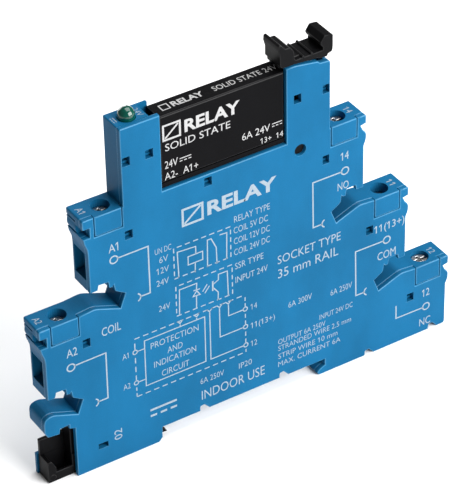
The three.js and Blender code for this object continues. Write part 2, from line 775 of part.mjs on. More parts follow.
for (const t of TERMINALS) {
  addPiece(`terminal_screw_${t.mark}`, terminalScrew(t), zincSteel());
  addPiece(`clamp_cage_${t.mark}`, clampCage(t), zincSteel());
}
addPiece('current_bar_A1', coilBar(T_A1), tinnedBrass());
addPiece('current_bar_A2', coilBar(T_A2), tinnedBrass());
addPiece('current_bar_14', loadBar(T_14, PIN_X[14]), tinnedBrass());
addPiece('current_bar_11', loadBar(T_11, PIN_X[13]), tinnedBrass());
addPiece('current_bar_12', loadBar(T_12, SPARE_CONTACT_X), tinnedBrass());
addPiece('coil_contact_A1', coilContact(PIN_X.A1), tinnedBrass());
addPiece('coil_contact_A2', coilContact(PIN_X.A2), tinnedBrass());

addPiece('control_board', controlBoard(), boardGreen());
addPiece('dropping_resistor', onBoard([-18.5, 12.5, 6.0, 3.1, 2.0]), resistorBody());
addPiece('led_resistor', onBoard([-19.5, 34.0, 3.2, 1.6, 0.7]), epoxyBlack());
addPiece('bridge_rectifier', onBoard([-12.2, 20.0, 5.0, 4.2, 2.1]), epoxyBlack());
addPiece('protection_diode', onBoard([-12.0, 30.0, 4.3, 2.6, 1.9]), epoxyBlack());
addPiece('smoothing_capacitor', onBoard([-11.5, 38.5, 4.8, 4.0, 2.4]), glassOrange());

addPiece('led_lens', ledLens(), ledGreen());
addPiece('led_lead_anode', ledLead(LED.x - LEAD.pitch / 2), tinnedCopper());
addPiece('led_lead_cathode', ledLead(LED.x + LEAD.pitch / 2), tinnedCopper());

addPiece('ejector_lever', ejectorLever(), leverBlack());
addPiece('rail_latch', railLatch(), leverBlack());
addPiece('latch_spring', latchSpring(), springSteel());

addPiece('relay_case', relayCase(), relayBlack());
addPiece('relay_base', relayBase(), relayBlack());
for (const [mark, x] of Object.entries(PIN_X)) {
  addPiece(`relay_pin_${mark}`, relayPin(x), tinnedCopper());
}
addPiece('relay_board', block(-18.2, 7.6, 0.75, 1.4, 61.2, 73.0), boardGreen());
addPiece('relay_optocoupler', moulded(-13.6, -7.0, -1.75, 0.7, 63.4, 70.2, 0.3), epoxyBlack());
addPiece('relay_output_transistor', moulded(-2.6, 4.0, -1.4, 0.7, 62.6, 71.6, 0.3), epoxyBlack());
addPiece('relay_suppressor', moulded(4.9, 7.3, -0.9, 0.7, 64.0, 68.2, 0.2), epoxyBlack());
addPiece('relay_input_resistor', block(-17.3, -15.1, -0.1, 0.7, 65.0, 68.4), resistorBody());

export default object;
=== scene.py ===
import json
import math

import bmesh
import bpy
from mathutils import Matrix, Vector
from mathutils.geometry import intersect_point_line


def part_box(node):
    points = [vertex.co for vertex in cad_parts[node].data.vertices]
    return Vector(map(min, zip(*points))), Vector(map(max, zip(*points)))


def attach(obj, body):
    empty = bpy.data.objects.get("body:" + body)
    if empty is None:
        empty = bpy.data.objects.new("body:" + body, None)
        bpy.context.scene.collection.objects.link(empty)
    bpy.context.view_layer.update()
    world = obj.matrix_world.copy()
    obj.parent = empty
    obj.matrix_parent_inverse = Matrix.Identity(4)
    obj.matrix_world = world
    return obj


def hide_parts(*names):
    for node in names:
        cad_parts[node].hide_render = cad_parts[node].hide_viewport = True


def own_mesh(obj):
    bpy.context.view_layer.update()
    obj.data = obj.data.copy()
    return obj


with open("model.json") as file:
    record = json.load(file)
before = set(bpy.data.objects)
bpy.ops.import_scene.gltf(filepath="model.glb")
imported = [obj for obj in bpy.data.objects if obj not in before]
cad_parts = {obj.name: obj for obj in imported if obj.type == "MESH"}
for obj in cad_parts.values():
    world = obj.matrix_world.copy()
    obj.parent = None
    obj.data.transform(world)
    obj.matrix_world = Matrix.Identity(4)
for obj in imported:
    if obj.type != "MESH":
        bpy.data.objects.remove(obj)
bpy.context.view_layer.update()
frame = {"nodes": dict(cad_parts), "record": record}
NODES = frame["nodes"]
MM = 0.001

# ---- Material nodes -----------------------------------------------------------------------------


class Shader:
    """A material with a Principled shader and textures in the object's own millimetres."""

    def __init__(self, name):
        self.material = bpy.data.materials.new(name)
        self.material.use_nodes = True
        self.tree = self.material.node_tree
        self.tree.nodes.clear()
        self.bsdf = self.node("ShaderNodeBsdfPrincipled")
        out = self.node("ShaderNodeOutputMaterial")
        self.link(self.bsdf.outputs[0], out.inputs["Surface"])
        where = self.node("ShaderNodeTexCoord")
        scale = self.node("ShaderNodeMapping")
        scale.inputs["Scale"].default_value = (1000.0, 1000.0, 1000.0)
        self.link(where.outputs["Object"], scale.inputs["Vector"])
        self.mm = scale.outputs["Vector"]

    def node(self, kind, **settings):
        made = self.tree.nodes.new(kind)
        for key, value in settings.items():
            setattr(made, key, value)
        return made

    def link(self, a, b):
        self.tree.links.new(a, b)

    def set(self, **values):
        for key, value in values.items():
            self.bsdf.inputs[key.replace("_", " ")].default_value = value

    def noise(self, scale, detail=2.0, rough=0.5, stretch=None):
        made = self.node("ShaderNodeTexNoise")
        made.inputs["Scale"].default_value = scale
        made.inputs["Detail"].default_value = detail
        made.inputs["Roughness"].default_value = rough
        vector = self.mm
        if stretch:
            squeeze = self.node("ShaderNodeMapping")
            squeeze.inputs["Scale"].default_value = stretch
            self.link(vector, squeeze.inputs["Vector"])
            vector = squeeze.outputs["Vector"]
        self.link(vector, made.inputs["Vector"])
        return made.outputs["Fac"]

    def cells(self, scale):
        made = self.node("ShaderNodeTexVoronoi")
        made.inputs["Scale"].default_value = scale
        self.link(self.mm, made.inputs["Vector"])
        return made.outputs["Distance"]

    def ramp(self, source, low, high, start=0.3, end=0.7):
        """source spread from low at start to high at end."""
        made = self.node("ShaderNodeMapRange")
        made.inputs["From Min"].default_value = start
        made.inputs["From Max"].default_value = end
        made.inputs["To Min"].default_value = low
        made.inputs["To Max"].default_value = high
        self.link(source, made.inputs["Value"])
        return made.outputs["Result"]

    def tint(self, source, dark, light, start=0.3, end=0.7):
        made = self.node("ShaderNodeValToRGB")
        made.color_ramp.elements[0].position = start
        made.color_ramp.elements[0].color = (*dark, 1.0)
        made.color_ramp.elements[1].position = end
        made.color_ramp.elements[1].color = (*light, 1.0)
        self.link(source, made.inputs["Fac"])
        return made.outputs["Color"]

    def bump(self, heights):
        """heights is a list of (height socket, depth in mm, strength)."""
        normal = None
        for height, depth, strength in heights:
            made = self.node("ShaderNodeBump")
            made.inputs["Distance"].default_value = depth * MM
            made.inputs["Strength"].default_value = strength
            self.link(height, made.inputs["Height"])
            if normal:
                self.link(normal, made.inputs["Normal"])
            normal = made.outputs["Normal"]
        self.link(normal, self.bsdf.inputs["Normal"])

    def plug(self, socket, name):
        self.link(socket, self.bsdf.inputs[name])


def shade(color, factor):
    return tuple(c * factor for c in color)


def moulded_plastic(name, color, rough, grain=0.02, mottling=0.06, specular=0.5):
    """Moulded plastic: faint flow marks, a fine spark-eroded grain, and roughness that varies with it."""
    s = Shader(name)
    wide = s.noise(0.09, 3.0, 0.55, stretch=(1.0, 1.0, 0.55))
    fine = s.noise(9.0, 4.0, 0.6)
    speck = s.noise(3.2, 5.0, 0.75)
    pits = s.cells(5.5)
    blend = s.node("ShaderNodeMath", operation="MULTIPLY_ADD")
    s.link(speck, blend.inputs[0])
    blend.inputs[1].default_value = 0.7
    s.link(s.ramp(wide, -0.1, 0.4, 0.3, 0.7), blend.inputs[2])
    s.plug(s.tint(blend.outputs[0], shade(color, 1 - mottling), shade(color, 1 + mottling)), "Base Color")
    s.plug(s.ramp(fine, rough - 0.05, rough + 0.05), "Roughness")
    s.set(Specular_IOR_Level=specular)
    s.bump([(pits, grain * 0.8, 0.25), (fine, grain, 0.35)])
    return s.material


def plated_metal(name, color, rough, brushing=(1.0, 1.0, 1.0), scratches=0.004):
    """Plated or rolled metal: fine lines along the rolling direction and a slightly cloudy plating."""
    s = Shader(name)
    lines = s.noise(14.0, 3.0, 0.7, stretch=brushing)
    cloud = s.noise(0.8, 4.0, 0.6)
    s.plug(s.tint(cloud, shade(color, 0.82), shade(color, 1.08)), "Base Color")
    s.plug(s.ramp(lines, rough - 0.08, rough + 0.12), "Roughness")
    s.set(Metallic=1.0)
    s.bump([(lines, scratches, 0.5)])
    return s.material


def print_ink(name, color, rough=0.5):
    """Pad-printed ink: a little uneven in colour and gloss."""
    s = Shader(name)
    patch = s.noise(2.2, 4.0, 0.65)
    s.plug(s.tint(patch, shade(color, 0.86), shade(color, 1.06)), "Base Color")
    s.plug(s.ramp(patch, rough - 0.08, rough + 0.1), "Roughness")
    s.bump([(s.noise(12.0, 3.0), 0.003, 0.4)])
    return s.material


def tinted_resin(name, color):
    """The lens of the indicator light: clear tinted epoxy with faint swirls."""
    s = Shader(name)
    swirl = s.noise(1.1, 3.0, 0.5)
    s.plug(s.tint(swirl, shade(color, 0.8), shade(color, 1.15)), "Base Color")
    s.plug(s.ramp(s.noise(3.0, 3.0), 0.04, 0.1), "Roughness")
    s.set(IOR=1.5, Coat_Weight=0.3, Coat_Roughness=0.03)
    s.bump([(swirl, 0.02, 0.2)])
    return s.material


def circuit_laminate(name, mask, copper):
    """Glass-epoxy board under solder mask, with its copper tracks showing as paler lines."""
    s = Shader(name)
    weave = s.node("ShaderNodeTexWave", wave_type="BANDS", bands_direction="Z")
    weave.inputs["Scale"].default_value = 0.33
    weave.inputs["Distortion"].default_value = 2.2
    weave.inputs["Detail"].default_value = 1.0
    s.link(s.mm, weave.inputs["Vector"])
    tracks = s.ramp(weave.outputs["Fac"], 0.0, 1.0, 0.62, 0.68)
    s.plug(s.tint(tracks, mask, copper, 0.2, 0.8), "Base Color")
    s.plug(s.ramp(s.noise(6.0, 3.0), 0.3, 0.42), "Roughness")
    s.set(Coat_Weight=0.3, Coat_Roughness=0.2)
    s.bump([(tracks, 0.035, 0.6), (s.noise(7.0, 2.0), 0.006, 0.3)])
    return s.material


def ceramic_body(name, color):
    """Cement or dipped coating of a small component."""
    s = Shader(name)
    rough = s.noise(5.0, 5.0, 0.7)
    s.plug(s.tint(rough, shade(color, 0.75), shade(color, 1.12)), "Base Color")
    s.plug(s.ramp(rough, 0.5, 0.75), "Roughness")
    s.bump([(rough, 0.05, 0.5)])
    return s.material


BLUE = moulded_plastic("housing_blue", (0.006, 0.094, 0.205), 0.38,
                       grain=0.012, mottling=0.1, specular=0.04)
# A lighter copy of the housing blue for the rounded rims: a painted highlight along the edges.
BLUE_RIM_HIGHLIGHT = moulded_plastic("housing_rim_painted_highlight", (0.02, 0.15, 0.29), 0.34,
                            grain=0.004, mottling=0.1, specular=0.3)
RELAY_BLACK = moulded_plastic("relay_black", (0.0035, 0.0035, 0.004), 0.36,
                              grain=0.008, mottling=0.1, specular=0.025)
LEVER_BLACK = moulded_plastic("lever_black", (0.0035, 0.0035, 0.004), 0.38,
                              grain=0.02, mottling=0.12, specular=0.05)
# A slightly lighter black for the rounded rims of the relay and the lever: a painted highlight along the
# edges.
BLACK_RIM_HIGHLIGHT = moulded_plastic("black_rim_painted_highlight", (0.008, 0.008, 0.0085), 0.34,
                             grain=0.004, mottling=0.1, specular=0.14)
ZINC = plated_metal("zinc_steel", (0.5, 0.5, 0.5), 0.27, brushing=(1.0, 1.0, 0.12))
SPRING = plated_metal("spring_steel", (0.42, 0.42, 0.43), 0.28, brushing=(0.2, 1.0, 1.0))
BRASS = plated_metal("terminal_brass", (0.66, 0.55, 0.32), 0.3, brushing=(0.1, 1.0, 1.0))
TINNED = plated_metal("tinned_copper", (0.62, 0.6, 0.56), 0.25, brushing=(1.0, 1.0, 0.15))
BOARD = circuit_laminate("board_green", (0.008, 0.075, 0.025), (0.03, 0.19, 0.06))
LED_GREEN = tinted_resin("led_green", (0.0, 0.05, 0.035))
PACKAGE = moulded_plastic("package_black", (0.012, 0.012, 0.013), 0.55, grain=0.03, mottling=0.15)
CERAMIC = ceramic_body("resistor_ceramic", (0.5, 0.42, 0.27))
CAPACITOR = ceramic_body("capacitor_orange", (0.5, 0.17, 0.03))
INK_GREY = print_ink("print_grey", (0.23, 0.285, 0.335))
INK_WHITE = print_ink("print_white", (0.36, 0.36, 0.36))

# Each plastic's lighter rim material: a painted highlight on its rounded faces.
EDGES = {BLUE.name: BLUE_RIM_HIGHLIGHT, RELAY_BLACK.name: BLACK_RIM_HIGHLIGHT, LEVER_BLACK.name: BLACK_RIM_HIGHLIGHT}
SLOT_MATERIALS = {
    "housing_blue": BLUE, "relay_black": RELAY_BLACK, "lever_black": LEVER_BLACK, "zinc_steel": ZINC,
    "spring_steel": SPRING, "terminal_brass": BRASS, "tinned_copper": TINNED, "board_green": BOARD,
    "led_green": LED_GREEN, "package_black": PACKAGE, "resistor_ceramic": CERAMIC,
    "capacitor_orange": CAPACITOR,
}
NODE_SLOT = {part["node"]: part["material_slot"] for part in frame["record"]["subparts"]}
BODY_OF = {n: body for body, nodes in frame["record"]["behaviour"]["bodies"].items() for n in nodes}

for node_name, node in NODES.items():
    node.data.materials.clear()
    node.data.materials.append(SLOT_MATERIALS[NODE_SLOT[node_name]])

# ---- Mesh helpers -------------------------------------------------------------------------------

SHARP = 50.0                               # edges steeper than this stay crisp, degrees
CORNER = 28.0                              # edges steeper than this can be rounded, degrees
STRIP = 0.42                               # widest facet of a rounding, mm
TRIES = 8                                  # attempts at a rounding that folds no face over

def cad_surface(node):
    """A CAD node's surface as a fresh bmesh, its flat faces whole."""
    bm = bmesh.new()
    bm.from_mesh(NODES[node].data)
    bmesh.ops.remove_doubles(bm, verts=bm.verts, dist=2e-7)
    bmesh.ops.dissolve_limit(bm, angle_limit=math.radians(0.6), verts=bm.verts, edges=bm.edges)
    bm.normal_update()
    return bm


def side_of(a, b, p):
    return (b[0] - a[0]) * (p[1] - a[1]) - (b[1] - a[1]) * (p[0] - a[0])


def folds(bm):
    """Where a face's outline crosses itself, as a list of points."""
    found = []
    for face in bm.faces:
        count = len(face.verts)
        drop = max(range(3), key=lambda i: abs(face.normal[i]))
        flat = [[v.co[i] / MM for i in range(3) if i != drop] for v in face.verts]
        for i in range(count):
            a, b = flat[i], flat[(i + 1) % count]
            for j in range(i + 2, count if i else count - 1):
                c, d = flat[j], flat[(j + 1) % count]
                if side_of(a, b, c) * side_of(a, b, d) < 0 and side_of(c, d, a) * side_of(c, d, b) < 0:
                    found += [face.verts[k % count].co.copy() for k in (i, i + 1, j, j + 1)]
    return found


def round_edges(bm, choose, width, segments=2):
    """Rounds the convex edges that choose(edge, middle) picks. An edge whose rounding would fold a
    face over stays sharp."""
    kept_sharp = set()
    for attempt in range(TRIES):
        trial = bm.copy()
        trial.edges.ensure_lookup_table()
        picked, ends = [], []
        for edge in trial.edges:
            if len(edge.link_faces) != 2 or edge.calc_face_angle(0.0) < math.radians(CORNER):
                continue
            if not edge.is_convex or edge.index in kept_sharp:
                continue
            if choose(edge, (edge.verts[0].co + edge.verts[1].co) / 2):
                picked.append(edge)
                ends.append((edge.index, edge.verts[0].co.copy(), edge.verts[1].co.copy()))
        # The new rounded faces take material slot 1, the painted rim highlight where the piece has one.
        bmesh.ops.bevel(trial, geom=picked, offset=width * MM, offset_type="OFFSET", segments=segments,
                        profile=0.5, affect="EDGES", clamp_overlap=False, material=1)
        faults = folds(trial)
        if not faults or attempt == TRIES - 1:
            break
        trial.free()
        reach = (1.3 + 0.5 * attempt) * width * MM
        for index, a, b in ends:
            for point in faults:
                near, part = intersect_point_line(point, a, b)
                near = a if part < 0 else b if part > 1 else near
                if (point - near).length < reach:
                    kept_sharp.add(index)
                    break
    result = bpy.data.meshes.new("rounded")
    trial.to_mesh(result)
    trial.free()
    bm.clear()
    bm.from_mesh(result)
    bpy.data.meshes.remove(result)
    bm.normal_update()


def is_strip(face):
    """Whether a face is a narrow facet of a rounding rather than a flat of its own."""
    return 2 * face.calc_area() / face.calc_perimeter() < STRIP * MM


def make_piece(name, bm, material, body, replaces=()):
    """A named object from a bmesh, smooth across its roundings and crisp elsewhere."""
    bmesh.ops.remove_doubles(bm, verts=bm.verts, dist=1e-8)
    bm.normal_update()
    for face in bm.faces:
        face.smooth = True
        if material.name not in EDGES:
            face.material_index = 0
    for edge in bm.edges:
        gentle = edge.calc_face_angle(0.0) < math.radians(SHARP)
        edge.smooth = gentle and any(is_strip(face) for face in edge.link_faces)
    mesh = bpy.data.meshes.new(name)
    bm.to_mesh(mesh)
    bm.free()
    mesh.materials.append(material)
    # Slot 1 holds the painted rim highlight for the rounded faces.
    if material.name in EDGES:
        mesh.materials.append(EDGES[material.name])
    piece = bpy.data.objects.new(name, mesh)
    bpy.context.scene.collection.objects.link(piece)
    weigh = piece.modifiers.new("flats", "WEIGHTED_NORMAL")
    weigh.keep_sharp = True
    weigh.weight = 100
    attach(piece, body)
    if replaces:
        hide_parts(*replaces)
    return piece


def any_edge(edge, middle):
    return True


def loop_lengths(edges):
    """For each edge, the total length in mm of the run of edges that it belongs to."""
    waiting, lengths = set(edges), {}
    while waiting:
        run, front = [], [waiting.pop()]
        while front:
            edge = front.pop()
            run.append(edge)
            for vertex in edge.verts:
                for other in vertex.link_edges:
                    if other in waiting:
                        waiting.remove(other)
                        front.append(other)
        total = sum(edge.calc_length() for edge in run) / MM
        lengths.update({edge: total for edge in run})
    return lengths


def refined(node, width, segments=2, choose=any_edge):
    """A CAD node redrawn with rounded edges."""
    bm = cad_surface(node)
    round_edges(bm, choose, width, segments)
    slot = NODE_SLOT[node]
    make_piece(node + "_body", bm, SLOT_MATERIALS[slot], BODY_OF[node], [node])


def lathe(bm, profile, centre, sides=48):
    """A surface of revolution about a vertical line; profile is [radius, height] in mm."""
    rings = []
    for radius, height in profile:
        if radius == 0:
            rings.append([bm.verts.new((centre[0] * MM, centre[1] * MM, height * MM))])
            continue
        ring = []
        for i in range(sides):
            a = 2 * math.pi * i / sides
            ring.append(bm.verts.new(((centre[0] + radius * math.cos(a)) * MM,
                                      (centre[1] + radius * math.sin(a)) * MM, height * MM)))
        rings.append(ring)
    for low, high in zip(rings, rings[1:]):
        for i in range(sides):
            j = (i + 1) % sides
            corners = [low[i % len(low)], low[j % len(low)], high[j % len(high)], high[i % len(high)]]
            unique = []
            for v in corners:
                if v not in unique:
                    unique.append(v)
            bm.faces.new(unique)


# ---- Housing ------------------------------------------------------------------------------------

COVER_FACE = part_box("housing_front_cover")[0].y
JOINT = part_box("housing_front_cover")[1].y
BACK_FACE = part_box("housing_rear_shell")[1].y
NEAR = 2e-6                                # how close to a plane counts as on it, metres
WINDOW = 9.5                               # no window's outline is longer than this, mm
FRONT_RIM, BACK_RIM = 0.2, 0.16            # roundings of the housing's outline, mm
JOINT_RIM, WINDOW_RIM = 0.15, 0.04         # roundings beside the joint line and round a window, mm


def on_plane(edge, y):
    return all(abs(v.co.y - y) < NEAR for v in edge.verts)


def round_rim(bm, y, rim, window):
    """Rounds the rim of the flat face at y: its outline by rim, and its small windows by window."""
    for width, segments, large in ((rim, 2, True), (window, 1, False)):
        if width:
            edges = [e for e in bm.edges if on_plane(e, y) and e.calc_face_angle(0.0) > 0.5 and e.is_convex]
            bm.edges.index_update()
            lengths = loop_lengths(edges)
            chosen = {e.index for e in edges if (lengths[e] > WINDOW) == large}
            round_edges(bm, lambda e, m: e.index in chosen, width, segments)


def add_cover():
    bm = cad_surface("housing_front_cover")
    round_rim(bm, COVER_FACE, FRONT_RIM, WINDOW_RIM)
    round_rim(bm, JOINT, JOINT_RIM, 0)
    make_piece("front_cover", bm, BLUE, "socket", ["housing_front_cover"])


def add_shell():
    bm = cad_surface("housing_rear_shell")
    round_rim(bm, BACK_FACE, BACK_RIM, 0)
    round_rim(bm, COVER_FACE, FRONT_RIM, 0)
    round_rim(bm, JOINT, JOINT_RIM, 0)
    make_piece("rear_shell", bm, BLUE, "socket", ["housing_rear_shell"])


add_cover()
add_shell()

# ---- Relay, lever, latch, terminals -------------------------------------------------------------

MARKS = ("A1", "A2", "14", "11", "12")
CASE_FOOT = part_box("relay_case")[0].z
BASE_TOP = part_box("relay_base")[1].z
SEAM = 0.1 * MM                            # edges nearer than this to the relay's seam stay sharp

refined("relay_case", 0.11, choose=lambda edge, middle: middle.z > CASE_FOOT + SEAM)
refined("relay_base", 0.1, choose=lambda edge, middle: middle.z < BASE_TOP - SEAM)
refined("ejector_lever", 0.15)
refined("rail_latch", 0.14)
for mark in MARKS:
    refined("terminal_screw_" + mark, 0.12)
    refined("clamp_cage_" + mark, 0.12)
for part in ("optocoupler", "output_transistor", "suppressor", "input_resistor"):
    refined("relay_" + part, 0.08)
for part in ("dropping_resistor", "led_resistor", "bridge_rectifier", "protection_diode",
             "smoothing_capacitor"):
    refined(part, 0.18, segments=3)


def add_lens():
    """The indicator's lens: flange, barrel and dome, turned round its axis."""
    low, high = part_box("led_lens")
    centre = ((low.x + high.x) / 2 / MM, (low.y + high.y) / 2 / MM)
    flange = (high.x - low.x) / 2 / MM
    radius = flange - 0.1
    bottom, top = low.z / MM, high.z / MM
    profile = [[0, bottom], [flange - 0.1, bottom], [flange, bottom + 0.1], [flange, bottom + 0.9],
               [flange - 0.05, bottom + 1.0], [radius, bottom + 1.05]]
    steps = 14
    for i in range(steps):
        a = math.pi / 2 * i / steps
        profile.append([radius * math.cos(a), top - radius + radius * math.sin(a)])
    profile.append([0, top])
    bm = bmesh.new()
    lathe(bm, profile, centre)
    bmesh.ops.recalc_face_normals(bm, faces=bm.faces)
    make_piece("indicator_lens", bm, LED_GREEN, "socket", ["led_lens"])


def tube(bm, points, radius, sides=8):
    """A closed round tube through points, all in metres."""
    rings = []
    for i, point in enumerate(points):
        way = (points[min(i + 1, len(points) - 1)] - points[max(i - 1, 0)]).normalized()
        side = way.cross(Vector((1, 0, 0)))
        side = side.normalized() if side.length > 1e-6 else Vector((0, 1, 0))
        other = way.cross(side)
        turns = [2 * math.pi * k / sides for k in range(sides)]
        rings.append([bm.verts.new(point + (side * math.cos(t) + other * math.sin(t)) * radius)
                      for t in turns])
    for low, high in zip(rings, rings[1:]):
        for k in range(sides):
            bm.faces.new((low[k], low[(k + 1) % sides], high[(k + 1) % sides], high[k]))
    bm.faces.new(rings[0][::-1])
    bm.faces.new(rings[-1])


def add_spring():
    """The latch spring as round wire."""
    low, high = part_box("latch_spring")
    wire = 0.25 * MM
    radius = (high.z - low.z) / 2 - wire
    centre = (low + high) / 2
    turns, steps = 8, 24
    points = []
    for i in range(turns * steps + 1):
        u = i / (turns * steps)
        a = u * turns * 2 * math.pi
        points.append(Vector((low.x + wire + u * (high.x - low.x - 2 * wire),
                              centre.y + radius * math.cos(a), centre.z + radius * math.sin(a))))
    bm = bmesh.new()
    tube(bm, points, wire)
    coil = make_piece("latch_coil", bm, SPRING, "socket", ["latch_spring"])
    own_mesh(coil)


add_lens()
add_spring()

# ---- Printing -----------------------------------------------------------------------------------

INK = 0.008                                # thickness of the ink, mm
CAP_HEIGHT = 0.682                         # height of a capital for a text size of 1
LINE = 0.3                                 # width of a printed line, mm
FLAG = 0.24                                # reach of a figure 1's flag, for a height of 1
CAGE_DEPTH = 7.8                           # depth of a clamp cage below its block's top, mm
TOWER_TOP = 75.3                           # height of the lamp's tower above the rail seat, mm
COIL_SIDE, LOAD_SIDE = -4.1, 3.1           # from a clamp's middle to its number on the block top, mm


def stems_of_ones(mesh, words, height):
    """The left side and the width of each figure 1 in a line of text. The font draws it as a bare bar,
    like a capital I, so the bars are told apart by their order in the words."""
    group = list(range(len(mesh.vertices)))

    def root(i):
        while group[i] != i:
            i = group[i]
        return i

    for edge in mesh.edges:
        a, b = edge.vertices
        group[root(a)] = root(b)
    spans = {}
    for vertex in mesh.vertices:
        low, high, top = spans.get(root(vertex.index), (math.inf, -math.inf, 0.0))
        spans[root(vertex.index)] = (min(low, vertex.co.x), max(high, vertex.co.x), max(top, vertex.co.y))
    bars = sorted({(round(low, 3), round(high - low, 3)) for low, high, top in spans.values()
                   if top > 0.9 * height and high - low < 0.22 * height})
    letters = [letter for letter in words if letter in "1I"]
    if len(bars) != len(letters):
        raise ValueError("cannot tell the figures 1 in " + words)
    return [bar for bar, letter in zip(bars, letters) if letter == "1"]


class Print:
    """Ink on a flat face. across and up are the face's own directions; origin is on the face."""

    def __init__(self, origin, across, up):
        self.across, self.up = Vector(across), Vector(up)
        self.out = self.across.cross(self.up)
        self.origin = Vector(origin) * MM
        self.bm = bmesh.new()

    def place(self, a, b, depth=0.0):
        return self.origin + (self.across * a + self.up * b + self.out * depth) * MM

    def text(self, words, a, b, height, width=0.0, align="LEFT", weight=-0.015, turn=0.0):
        """words as capitals of that height in mm, drawn out or in to width, from a, level with b."""
        data = bpy.data.curves.new("words", "FONT")
        data.body = words
        data.size = height / CAP_HEIGHT
        data.offset = weight
        data.resolution_u = 3
        data.extrude = INK / 2
        holder = bpy.data.objects.new("words", data)
        bpy.context.scene.collection.objects.link(holder)
        bpy.context.view_layer.update()
        mesh = bpy.data.meshes.new_from_object(holder.evaluated_get(bpy.context.evaluated_depsgraph_get()))
        ones = stems_of_ones(mesh, words, height)
        flag = FLAG * height
        left = min(vertex.co.x for vertex in mesh.vertices) - (flag if words[0] == "1" else 0.0)
        natural = max(vertex.co.x for vertex in mesh.vertices) - left
        stretch = width / natural if width else 1.0
        start = {"LEFT": 0.0, "CENTER": -0.5, "RIGHT": -1.0}[align] * natural * stretch
        cos, sin = math.cos(math.radians(turn)), math.sin(math.radians(turn))

        def spot(x, y):
            x, y = start + (x - left) * stretch, y - height / 2
            return a + x * cos - y * sin, b + x * sin + y * cos

        for vertex in mesh.vertices:
            vertex.co = self.place(*spot(vertex.co.x, vertex.co.y), vertex.co.z + INK / 2)
        self.bm.from_mesh(mesh)
        for side, thick in ones:
            tip, foot = height - 0.75 * flag, thick * 1.15
            self.ribbon([spot(side, height), spot(side - flag, tip)],
                        [spot(side, height - foot), spot(side - flag, tip - foot)])
        bpy.data.objects.remove(holder)
        bpy.data.curves.remove(data)
        bpy.data.meshes.remove(mesh)

    def ribbon(self, left, right, closed=False):
        """A closed sliver of ink between two rows of points."""
        rows = [[self.bm.verts.new(self.place(a, b, depth)) for a, b in row]
                for row, depth in ((left, 0), (left, INK), (right, INK), (right, 0))]
        count = len(left)
        for i in range(count if closed else count - 1):
            j = (i + 1) % count
            for near, far in zip(rows, rows[1:] + rows[:1]):
                self.bm.faces.new((near[i], near[j], far[j], far[i]))
        if not closed:
            self.bm.faces.new([row[0] for row in rows])
            self.bm.faces.new([row[-1] for row in rows[::-1]])

    def line(self, points, width=LINE, dash=0.0, gap=0.0, closed=False):
        """A stroke with mitred corners, or a dashed one."""
        count = len(points)
        if dash:
            for i in range(count if closed else count - 1):
                (a0, b0), (a1, b1) = points[i], points[(i + 1) % count]
                length = math.hypot(a1 - a0, b1 - b0)
                repeats = max(1, round(length / (dash + gap)))
                for k in range(repeats):
                    u0, u1 = k / repeats, (k + dash / (dash + gap)) / repeats
                    self.line([(a0 + (a1 - a0) * u, b0 + (b1 - b0) * u) for u in (u0, u1)], width)
            return
        left, right = [], []
        for i, (a, b) in enumerate(points):
            before = points[i - 1] if i or closed else None
            after = points[(i + 1) % count] if i < count - 1 or closed else None
            ways = []
            for start, end in ((before, (a, b)), ((a, b), after)):
                if start and end:
                    length = math.hypot(end[0] - start[0], end[1] - start[1])
                    ways.append(((end[0] - start[0]) / length, (end[1] - start[1]) / length))
            mid = (ways[0][0] + ways[-1][0], ways[0][1] + ways[-1][1])
            size = math.hypot(*mid)
            mid = (mid[0] / size, mid[1] / size)
            reach = width / 2 / max(0.35, mid[0] * ways[0][0] + mid[1] * ways[0][1])
            left.append((a - mid[1] * reach, b + mid[0] * reach))
            right.append((a + mid[1] * reach, b - mid[0] * reach))
        self.ribbon(left, right, closed)

    def box(self, a0, a1, b0, b1, **kinds):
        self.line([(a0, b0), (a1, b0), (a1, b1), (a0, b1)], closed=True, **kinds)

    def arc(self, a, b, radius, start=0.0, end=360.0, width=LINE, sides=20):
        """A ring, or a part of one, between two angles in degrees."""
        closed = end - start == 360.0
        turns = [math.radians(start + (end - start) * i / sides) for i in range(sides + (not closed))]
        inner, outer = ([(a + reach * math.cos(t), b + reach * math.sin(t)) for t in turns]
                        for reach in (radius - width / 2, radius + width / 2))
        self.ribbon(inner, outer, closed)

    def direct_current(self, a, b, width, thick=0.18):
        """The usual sign for direct current: a bar over three dashes."""
        self.line([(a, b + thick * 1.5), (a + width, b + thick * 1.5)], thick)
        for k in range(3):
            start = a + width * 0.38 * k
            self.line([(start, b - thick * 1.5), (start + width * 0.24, b - thick * 1.5)], thick)

    def finish(self, name, material, body):
        mesh = bpy.data.meshes.new(name)
        bmesh.ops.recalc_face_normals(self.bm, faces=self.bm.faces)
        self.bm.to_mesh(mesh)
        self.bm.free()
        mesh.materials.append(material)
        piece = bpy.data.objects.new(name, mesh)
        bpy.context.scene.collection.objects.link(piece)
        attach(piece, body)


